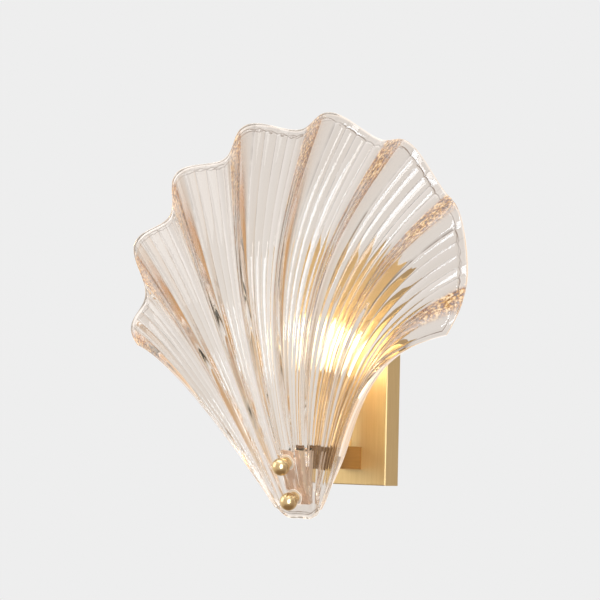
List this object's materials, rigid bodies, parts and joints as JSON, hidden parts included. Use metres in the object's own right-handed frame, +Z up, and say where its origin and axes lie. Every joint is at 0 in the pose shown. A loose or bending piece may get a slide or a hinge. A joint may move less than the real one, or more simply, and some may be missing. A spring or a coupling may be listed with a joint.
{
  "type": "wall sconce",
  "caption": "Wall sconce: a fluted clear glass scallop shell clamped by brass ball nuts to a square arm on a slim rectangular canopy, with an upright bulb behind the shell.",
  "frame": {"origin": "middle of the wall screw pattern, on the wall plane at the back of the canopy", "axes": "+X to the viewer's right, front faces -Y, +Y into the wall, +Z up"},
  "size_m": [0.2816, 0.1359, 0.2821],
  "materials": {
    "clear_glass": "clear pressed glass, faintly warm",
    "satin_brass": "satin, fine brushed grain",
    "ball_brass": "satin polished",
    "plated_steel": "zinc plated",
    "clear_nylon": "translucent nylon",
    "grey_rubber": "soft pad",
    "white_thermoset": "moulded, matt",
    "cap_brass": "bright",
    "cap_nickel": "bright nickel",
    "black_vitrite": "glazed black",
    "bulb_glass": "clear thin glass",
    "filament": "glowing warm",
    "brown_pvc": "lead insulation",
    "blue_pvc": "lead insulation",
    "green_pvc": "lead insulation"
  },
  "bodies": {
    "root": {"glass_shade": "clear_glass", "shade_bushes": "clear_nylon", "bracket_gasket": "grey_rubber", "shade_bracket": "satin_brass", "shade_studs": "plated_steel", "arm_tube": "satin_brass", "arm_end_block": "satin_brass", "arm_nipple": "plated_steel", "arm_nut": "plated_steel", "earth_tag": "plated_steel", "canopy_cover": "satin_brass", "wall_bracket": "plated_steel", "cover_screws": "satin_brass", "earth_screw": "cap_brass", "terminal_block": "white_thermoset", "terminal_screws": "plated_steel", "socket_sleeve": "satin_brass", "socket_nipple": "plated_steel", "nipple_nut": "plated_steel", "lamp_holder": "white_thermoset", "holder_shell": "cap_brass", "holder_contact": "cap_brass", "live_lead": "brown_pvc", "neutral_lead": "blue_pvc", "earth_lead": "green_pvc"},
    "bulb": {"bulb_contact": "cap_nickel", "bulb_insulator": "black_vitrite", "bulb_cap": "cap_nickel", "bulb_glass": "bulb_glass", "bulb_stem": "bulb_glass", "bulb_filaments": "filament"},
    "upper_nut": {"upper_ball_nut": "ball_brass"},
    "lower_nut": {"lower_ball_nut": "ball_brass"}
  },
  "joints": [
    {"name": "bulb_unscrew", "type": "slide", "parent": "root", "child": "bulb", "axis": [0, 0, 1], "range_m": [0, 0.03]},
    {"name": "upper_nut_unscrew", "type": "slide", "parent": "root", "child": "upper_nut", "axis": [0, -0.9161, -0.401], "range_m": [0, 0.012]},
    {"name": "lower_nut_unscrew", "type": "slide", "parent": "root", "child": "lower_nut", "axis": [0, -0.9161, -0.401], "range_m": [0, 0.012]}
  ]
}
